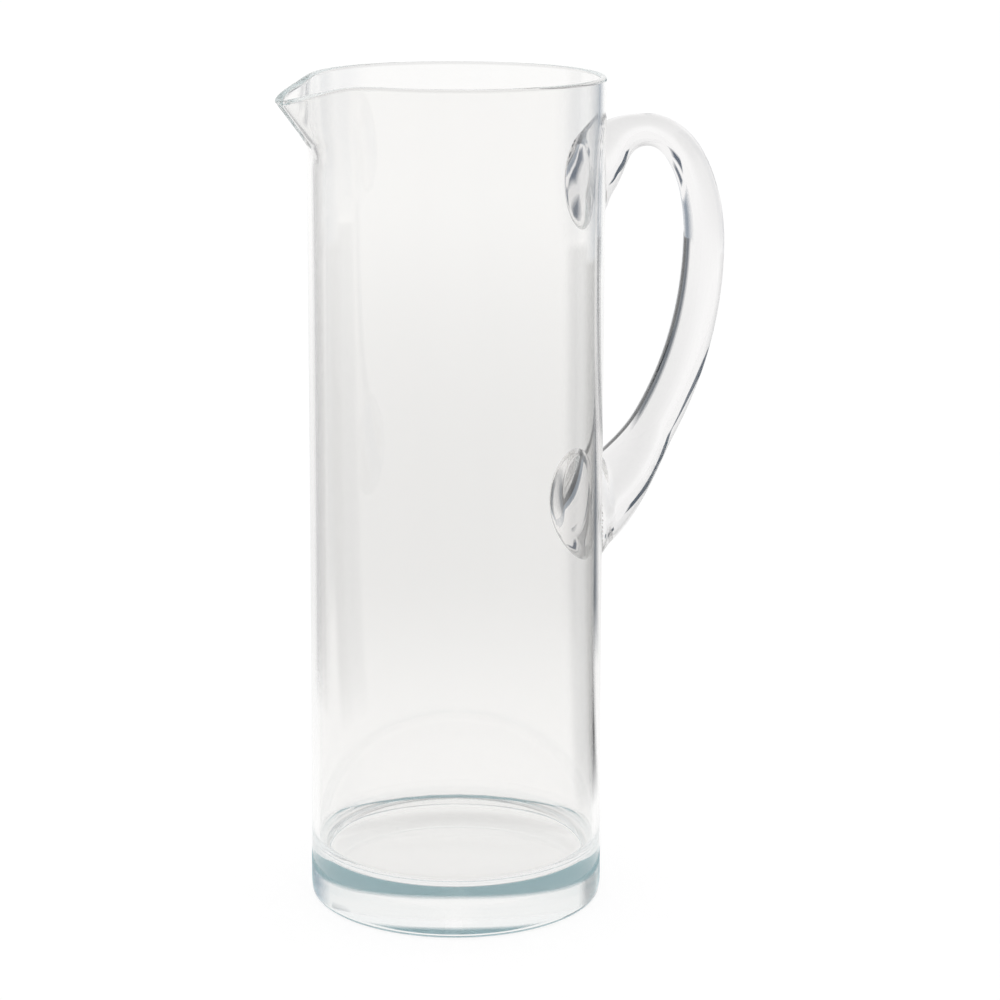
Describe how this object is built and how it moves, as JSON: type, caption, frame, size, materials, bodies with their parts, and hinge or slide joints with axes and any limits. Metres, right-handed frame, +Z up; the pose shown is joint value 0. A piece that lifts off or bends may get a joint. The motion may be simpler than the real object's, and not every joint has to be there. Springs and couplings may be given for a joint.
{
  "type": "pitcher",
  "caption": "Tall straight-sided clear glass jug with a heavy solid base, a pouring lip pulled from the rim and a solid drawn handle sealed to the wall.",
  "frame": {"origin": "centre of the flat underside, where the jug stands", "axes": "+Z up along the vessel, +X toward the handle, -X toward the pouring lip"},
  "size_m": [0.1724, 0.1052, 0.295],
  "materials": {
    "vessel_glass": "clear blown crystal, fire polished",
    "handle_glass": "clear drawn crystal, fire polished"
  },
  "bodies": {
    "root": {"vessel": "vessel_glass", "handle": "handle_glass"}
  },
  "joints": []
}
